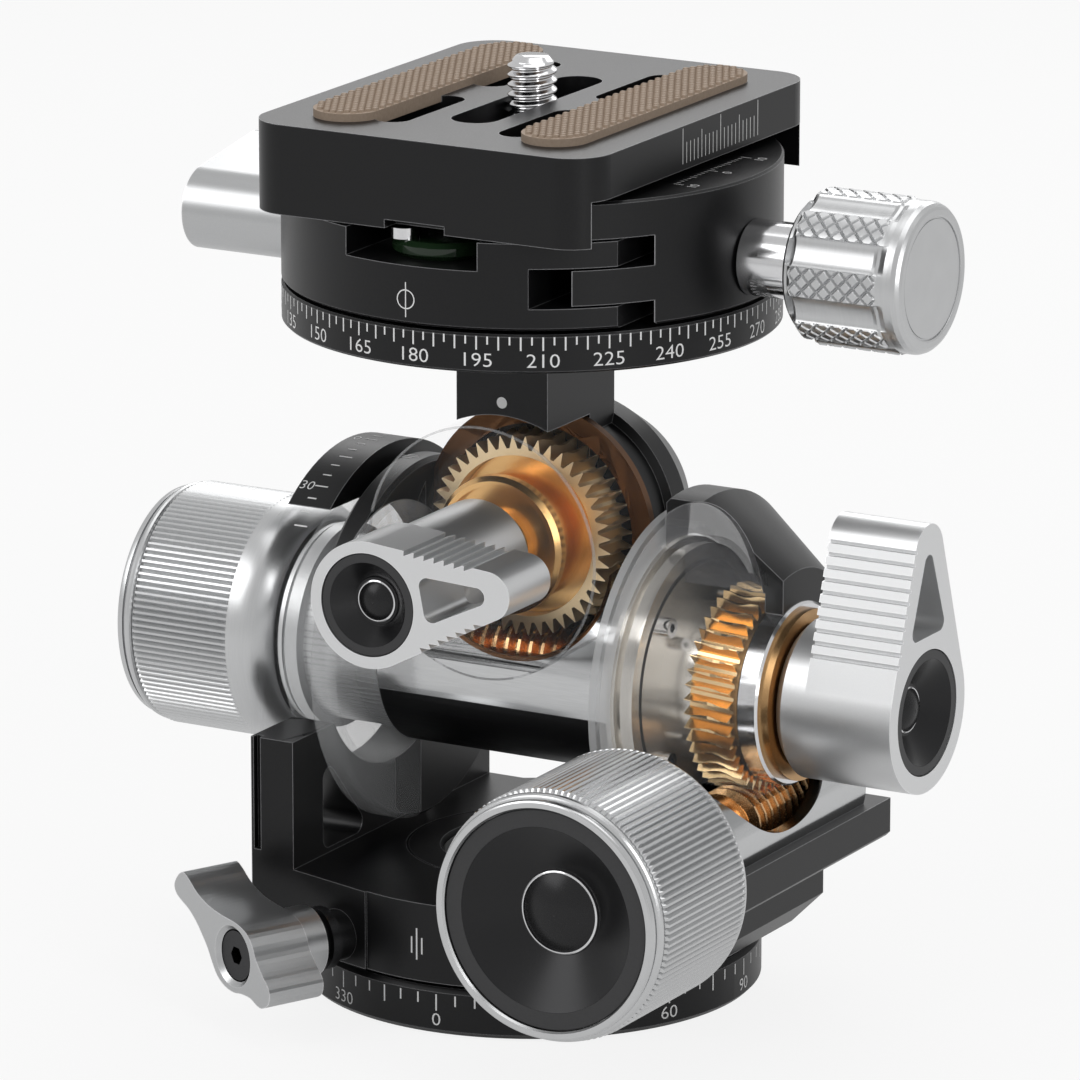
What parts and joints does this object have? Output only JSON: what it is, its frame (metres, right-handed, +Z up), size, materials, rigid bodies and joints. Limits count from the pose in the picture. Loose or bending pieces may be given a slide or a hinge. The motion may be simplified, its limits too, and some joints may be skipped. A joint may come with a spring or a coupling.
{
  "type": "geared tripod head",
  "caption": "Compact geared tripod head: panning base, worm-driven tilt on crossed axes with lock levers, and a panning dovetail clamp with a camera plate.",
  "frame": {"origin": "centre of the base disc's underside, on the pan axis", "axes": "+Z up along the pan axis; +X towards the plate clamp's knob; -Y towards the front drive knob and the bubble level"},
  "size_m": [0.1115, 0.0872, 0.122],
  "materials": {
    "black": "black anodised over fine bead blasting, satin",
    "silver": "natural anodised, satin, turned and knurled",
    "polished": "bright turned aluminium",
    "steel": "ground steel",
    "dark_steel": "blackened steel",
    "bronze": "machined gear bronze",
    "gloss_black": "gloss black",
    "nylon": "white low-friction plastic",
    "clear": "clear cover",
    "rubber": "black rubber",
    "vial": "green filled level vial",
    "strip": "tan rubber with small bumps",
    "ink": "white filled engraving"
  },
  "bodies": {
    "base": {"base_disc": "black", "tripod_bush": "steel", "pan_slide_ring": "nylon", "pan_axle_cap": "black", "pan_retaining_nut": "silver"},
    "bracket_body": {"bracket": "black", "pan_brake_shoe": "bronze", "pitch_gear_cover": "clear", "pitch_worm_sleeve": "clear", "pitch_worm_bearings": "steel", "pitch_hub_ring": "silver", "pitch_thrust_ring": "bronze"},
    "wing_body": {"wing_knob": "silver", "wing_screw": "dark_steel"},
    "tilt_body": {"tilt_housing": "black", "tilt_cover": "clear", "roll_worm_sleeve": "clear", "roll_worm_bush": "silver", "roll_worm_bearings": "steel", "pitch_flange": "polished", "flange_seal": "rubber", "flange_screws": "steel", "pitch_wheel": "bronze", "pitch_shaft": "steel"},
    "pitch_knob_body": {"pitch_knob": "silver", "pitch_knob_dish": "gloss_black", "pitch_knob_dome": "gloss_black", "pitch_worm": "bronze"},
    "pitch_lever_body": {"pitch_lever": "silver", "pitch_lever_dish": "gloss_black", "pitch_lever_dome": "gloss_black"},
    "roll_knob_body": {"roll_knob": "silver", "roll_knob_dish": "gloss_black", "roll_knob_dome": "gloss_black", "roll_worm": "bronze"},
    "roll_lever_body": {"roll_lever": "silver", "roll_lever_dish": "gloss_black", "roll_lever_dome": "gloss_black"},
    "roll_body": {"upper_bracket": "black", "roll_wheel": "bronze", "roll_hub": "bronze", "roll_shaft": "steel", "clamp_scale_ring": "black", "clamp_axle": "steel"},
    "clamp_carrier": {"clamp_body": "black", "level_vial": "vial", "level_pin": "polished"},
    "pan_lever_body": {"pan_lever": "silver", "pan_lock_screw": "steel"},
    "jaw_body": {"clamp_jaw": "black"},
    "clamp_knob_body": {"clamp_knob": "silver", "clamp_screw": "steel"},
    "plate_body": {"quick_plate": "black", "grip_strips": "strip"},
    "camera_screw_body": {"camera_screw": "steel"}
  },
  "joints": [
    {"name": "pan", "type": "hinge", "parent": "base", "child": "bracket_body", "pos_m": [0, 0, 0], "axis": [0, 0, 1], "continuous": true},
    {"name": "pan_lock_wing", "type": "hinge", "parent": "bracket_body", "child": "wing_body", "pos_m": [0, 0, 0.0104], "axis": [-0.4226, -0.9063, 0], "range_deg": [-120, 60]},
    {"name": "pitch", "type": "hinge", "parent": "bracket_body", "child": "tilt_body", "pos_m": [0, 0, 0.043], "axis": [1, 0, 0], "range_deg": [-15, 15]},
    {"name": "pitch_drive", "type": "hinge", "parent": "bracket_body", "child": "pitch_knob_body", "pos_m": [0.0326, 0, 0.0266], "axis": [0, 1, 0], "range_deg": [-660, 660]},
    {"name": "pitch_lock", "type": "hinge", "parent": "bracket_body", "child": "pitch_lever_body", "pos_m": [0, 0, 0.043], "axis": [1, 0, 0], "range_deg": [-45, 20]},
    {"name": "roll", "type": "hinge", "parent": "tilt_body", "child": "roll_body", "pos_m": [0, 0, 0.0594], "axis": [0, 1, 0], "range_deg": [-15, 15]},
    {"name": "roll_drive", "type": "hinge", "parent": "tilt_body", "child": "roll_knob_body", "pos_m": [0, 0, 0.043], "axis": [1, 0, 0], "range_deg": [-660, 660]},
    {"name": "roll_lock", "type": "hinge", "parent": "tilt_body", "child": "roll_lever_body", "pos_m": [0, 0, 0.0594], "axis": [0, 1, 0], "range_deg": [-30, 45]},
    {"name": "clamp_pan", "type": "hinge", "parent": "roll_body", "child": "clamp_carrier", "pos_m": [0, 0, 0.09305], "axis": [0, 0, 1], "continuous": true},
    {"name": "clamp_pan_lock", "type": "hinge", "parent": "clamp_carrier", "child": "pan_lever_body", "pos_m": [0, 0, 0.09695], "axis": [1, 0, 0], "range_deg": [-30, 30]},
    {"name": "jaw_slide", "type": "slide", "parent": "clamp_carrier", "child": "jaw_body", "axis": [1, 0, 0], "range_m": [0, 0.002]},
    {"name": "clamp_screw_turn", "type": "hinge", "parent": "jaw_body", "child": "clamp_knob_body", "pos_m": [0, 0, 0.09935], "axis": [1, 0, 0], "range_deg": [-600, 0]},
    {"name": "plate_slide", "type": "slide", "parent": "clamp_carrier", "child": "plate_body", "axis": [0, 1, 0], "range_m": [-0.0012, 0.0012]},
    {"name": "camera_screw_turn", "type": "hinge", "parent": "plate_body", "child": "camera_screw_body", "pos_m": [0, 0, 0.11], "axis": [0, 0, 1], "continuous": true}
  ],
  "couplings": [
    {"joint": "pitch_drive", "follows": "pitch", "ratio": -44},
    {"joint": "roll_drive", "follows": "roll", "ratio": 44},
    {"joint": "clamp_screw_turn", "follows": "jaw_slide", "rad_per_m": -5000}
  ]
}
